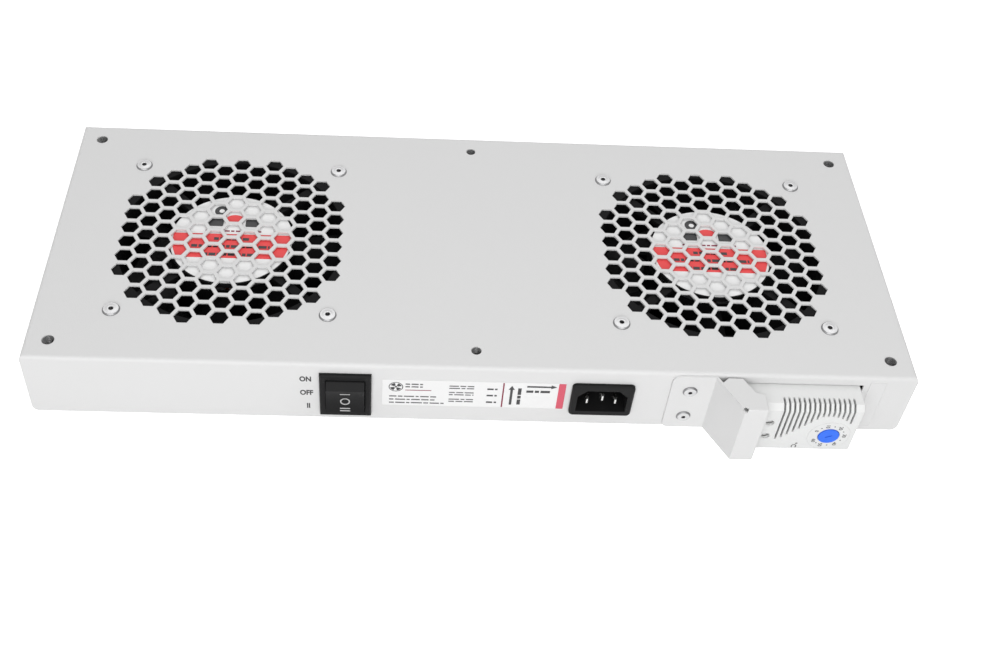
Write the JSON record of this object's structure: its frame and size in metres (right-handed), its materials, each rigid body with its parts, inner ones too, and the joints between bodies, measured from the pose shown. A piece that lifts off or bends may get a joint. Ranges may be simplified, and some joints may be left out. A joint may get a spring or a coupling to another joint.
{
  "type": "rack fan tray",
  "caption": "Folded sheet-steel tray with honeycomb grilles over mains fans, a rocker switch, a mains inlet and a dial thermostat on its front flange.",
  "frame": {"origin": "centre of the screw-hole pattern, on the outer face of the top plate", "axes": "+X along the tray, +Y from the control panel to the back, +Z out of the top plate"},
  "size_m": [0.43, 0.1883, 0.0411],
  "materials": {
    "light_paint": "fine powder coat",
    "zinc": "zinc plated",
    "aluminium": "plain",
    "black_plastic": "satin",
    "light_plastic": "satin",
    "cast_black": "satin black",
    "label_white": "printed film",
    "core_steel": "plain",
    "copper_wire": "enamelled copper",
    "brass": "plain",
    "blue_plastic": "gloss"
  },
  "bodies": {
    "tray_assembly": {"corner_nuts": "zinc", "edge_nuts": "zinc", "fan_left_bearings": "brass", "fan_left_coils": "copper_wire", "fan_left_frame": "cast_black", "fan_left_label": "label_white", "fan_left_stator": "core_steel", "fan_left_terminals": "zinc", "fan_right_bearings": "brass", "fan_right_coils": "copper_wire", "fan_right_frame": "cast_black", "fan_right_label": "label_white", "fan_right_stator": "core_steel", "fan_right_terminals": "zinc", "fan_rivets": "aluminium", "guard_rivets": "aluminium", "inlet_body": "black_plastic", "inlet_pins": "brass", "switch_body": "black_plastic", "switch_terminals": "brass", "thermostat_base": "light_plastic", "thermostat_bimetal": "brass", "thermostat_guard": "light_paint", "thermostat_housing": "light_plastic", "thermostat_rail": "zinc", "thermostat_terminals": "zinc", "tray": "light_paint"},
    "fan_left_rotor": {"fan_left_impeller": "black_plastic", "fan_left_rotor_cup": "core_steel", "fan_left_shaft": "core_steel", "fan_left_clip": "core_steel"},
    "fan_right_rotor": {"fan_right_impeller": "black_plastic", "fan_right_rotor_cup": "core_steel", "fan_right_shaft": "core_steel", "fan_right_clip": "core_steel"},
    "rocker": {"switch_rocker": "black_plastic"},
    "dial": {"thermostat_dial": "blue_plastic"}
  },
  "joints": [
    {"name": "fan_left_spin", "type": "hinge", "parent": "tray_assembly", "child": "fan_left_rotor", "pos_m": [-0.125, 0, -0.02], "axis": [0, 0, 1], "continuous": true},
    {"name": "fan_right_spin", "type": "hinge", "parent": "tray_assembly", "child": "fan_right_rotor", "pos_m": [0.125, 0, -0.02], "axis": [0, 0, 1], "continuous": true},
    {"name": "rocker_tilt", "type": "hinge", "parent": "tray_assembly", "child": "rocker", "pos_m": [-0.0625, -0.083, -0.021], "axis": [1, 0, 0], "range_deg": [-12, 12]},
    {"name": "dial_turn", "type": "hinge", "parent": "tray_assembly", "child": "dial", "pos_m": [0.1741, -0.098, -0.0273], "axis": [0, -1, 0], "range_deg": [-150, 150]}
  ]
}
